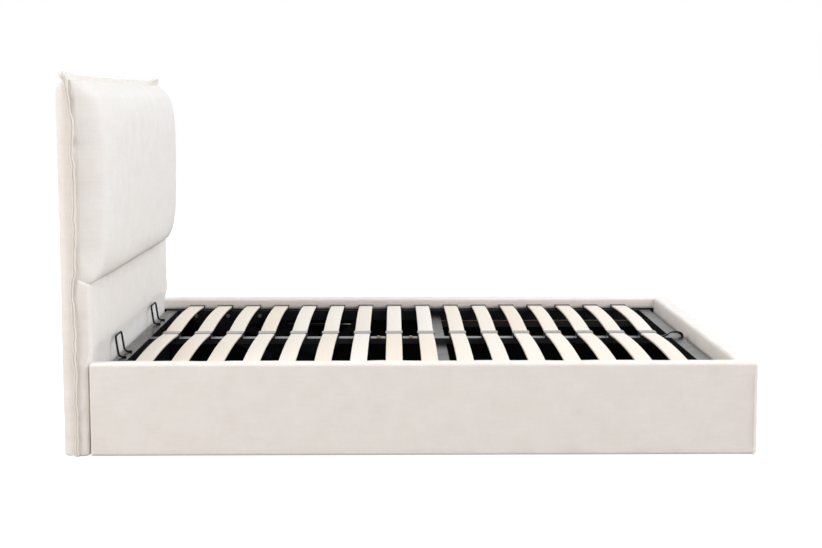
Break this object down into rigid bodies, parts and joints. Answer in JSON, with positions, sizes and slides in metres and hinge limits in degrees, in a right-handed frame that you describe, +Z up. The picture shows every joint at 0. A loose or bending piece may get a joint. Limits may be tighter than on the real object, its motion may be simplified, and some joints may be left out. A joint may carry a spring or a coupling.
{
  "type": "ottoman storage bed",
  "caption": "Upholstered storage bed with a padded headboard and a sprung-slat platform that lifts on gas-strut arms over a storage base.",
  "frame": {"origin": "on the floor, below the middle of the bed's outline", "axes": "+X from the headboard to the foot, +Y across the bed, +Z up"},
  "size_m": [2.172, 1.652, 1.193],
  "materials": {
    "fabric": "woven linen-look upholstery, warm off-white",
    "timber": "planed softwood, unfinished",
    "black_board": "matt black faced board",
    "black_lining": "black non-woven lining on thin board",
    "black_plastic": "moulded, satin black",
    "black_steel": "gloss black powder coat",
    "rod_steel": "dark satin",
    "zinc": "zinc plated",
    "bright_rod": "polished",
    "birch": "pale laminated birch, satin",
    "webbing": "black woven webbing"
  },
  "bodies": {
    "base": {"headboard_frame": "timber", "headboard_back_pad": "fabric", "headboard_lower_pad": "fabric", "headboard_pillow": "fabric", "headboard_flange": "fabric", "floor_glides": "black_plastic", "side_rail_core_left": "timber", "side_rail_core_right": "timber", "side_rail_cover_left": "fabric", "side_rail_cover_right": "fabric", "foot_rail_core": "timber", "foot_rail_cover": "fabric", "corner_welts": "fabric", "foot_brackets": "black_steel", "head_brackets": "black_steel", "bracket_bolts": "zinc", "rest_batten_left": "timber", "rest_batten_right": "timber", "floor_bearers": "timber", "floor_panel_head": "black_board", "floor_panel_foot": "black_board", "rail_lining_left": "black_lining", "rail_lining_right": "black_lining", "foot_lining": "black_lining", "head_panel": "black_board", "lift_base_left": "black_steel", "lift_base_right": "black_steel", "lift_base_bolts": "zinc", "base_pivot_bolts": "zinc", "strut_anchor_studs": "zinc"},
    "rear_arm_left": {"rear_arm_left": "black_steel"},
    "rear_arm_right": {"rear_arm_right": "black_steel"},
    "front_arm_left": {"front_arm_left": "black_steel", "front_arm_studs_left": "zinc"},
    "front_arm_right": {"front_arm_right": "black_steel", "front_arm_studs_right": "zinc"},
    "platform": {"side_tube_left": "black_steel", "side_tube_right": "black_steel", "head_bar": "black_steel", "foot_bar": "black_steel", "centre_bar": "black_steel", "cross_tube": "black_steel", "slats_left": "birch", "slats_right": "birch", "slat_caps_left": "black_plastic", "slat_caps_right": "black_plastic", "slat_holders": "black_plastic", "mattress_retainer_left": "rod_steel", "mattress_retainer_right": "rod_steel", "pull_strap": "webbing", "lift_bracket_left": "black_steel", "lift_bracket_right": "black_steel", "lift_bracket_bolts": "zinc", "top_pivot_bolts": "zinc", "tube_plugs": "black_plastic"},
    "gas_cylinder_left": {"gas_cylinder_left": "black_steel"},
    "gas_cylinder_right": {"gas_cylinder_right": "black_steel"},
    "gas_rod_left": {"gas_rod_left": "bright_rod"},
    "gas_rod_right": {"gas_rod_right": "bright_rod"}
  },
  "joints": [
    {"name": "rear_arm_right_swing", "type": "hinge", "parent": "base", "child": "rear_arm_right", "pos_m": [-0.574, 0.724, 0.055], "axis": [0, 1, 0], "range_deg": [0, 49]},
    {"name": "front_arm_right_swing", "type": "hinge", "parent": "base", "child": "front_arm_right", "pos_m": [-0.3415, 0.724, 0.06924], "axis": [0, 1, 0], "range_deg": [0, 39.7]},
    {"name": "gas_cylinder_right_swing", "type": "hinge", "parent": "base", "child": "gas_cylinder_right", "pos_m": [-0.504, 0.741, 0.19], "axis": [0, 1, 0], "range_deg": [0, 17.84]},
    {"name": "gas_rod_right_slide", "type": "slide", "parent": "gas_cylinder_right", "child": "gas_rod_right", "axis": [1, 0, -0.0069], "range_m": [0, 0.06432]},
    {"name": "rear_arm_left_swing", "type": "hinge", "parent": "base", "child": "rear_arm_left", "pos_m": [-0.574, -0.724, 0.055], "axis": [0, 1, 0], "range_deg": [0, 49]},
    {"name": "front_arm_left_swing", "type": "hinge", "parent": "base", "child": "front_arm_left", "pos_m": [-0.3415, -0.724, 0.06924], "axis": [0, 1, 0], "range_deg": [0, 39.7]},
    {"name": "gas_cylinder_left_swing", "type": "hinge", "parent": "base", "child": "gas_cylinder_left", "pos_m": [-0.504, -0.741, 0.19], "axis": [0, 1, 0], "range_deg": [0, 17.84]},
    {"name": "gas_rod_left_slide", "type": "slide", "parent": "gas_cylinder_left", "child": "gas_rod_left", "axis": [1, 0, -0.0069], "range_m": [0, 0.06432]},
    {"name": "platform_tilt", "type": "hinge", "parent": "rear_arm_right", "child": "platform", "pos_m": [-0.812, 0, 0.188], "axis": [0, -1, 0], "range_deg": [0, 87.01]}
  ],
  "couplings": [
    {"joint": "rear_arm_left_swing", "follows": "rear_arm_right_swing", "ratio": 1},
    {"joint": "platform_tilt", "follows": "rear_arm_right_swing", "ratio": 1.7755},
    {"joint": "front_arm_right_swing", "follows": "rear_arm_right_swing", "ratio": 0.81},
    {"joint": "gas_cylinder_right_swing", "follows": "rear_arm_right_swing", "ratio": 0.36392},
    {"joint": "gas_rod_right_slide", "follows": "rear_arm_right_swing", "m_per_rad": 0.075096},
    {"joint": "front_arm_left_swing", "follows": "rear_arm_right_swing", "ratio": 0.81},
    {"joint": "gas_cylinder_left_swing", "follows": "rear_arm_right_swing", "ratio": 0.36392},
    {"joint": "gas_rod_left_slide", "follows": "rear_arm_right_swing", "m_per_rad": 0.075096}
  ]
}
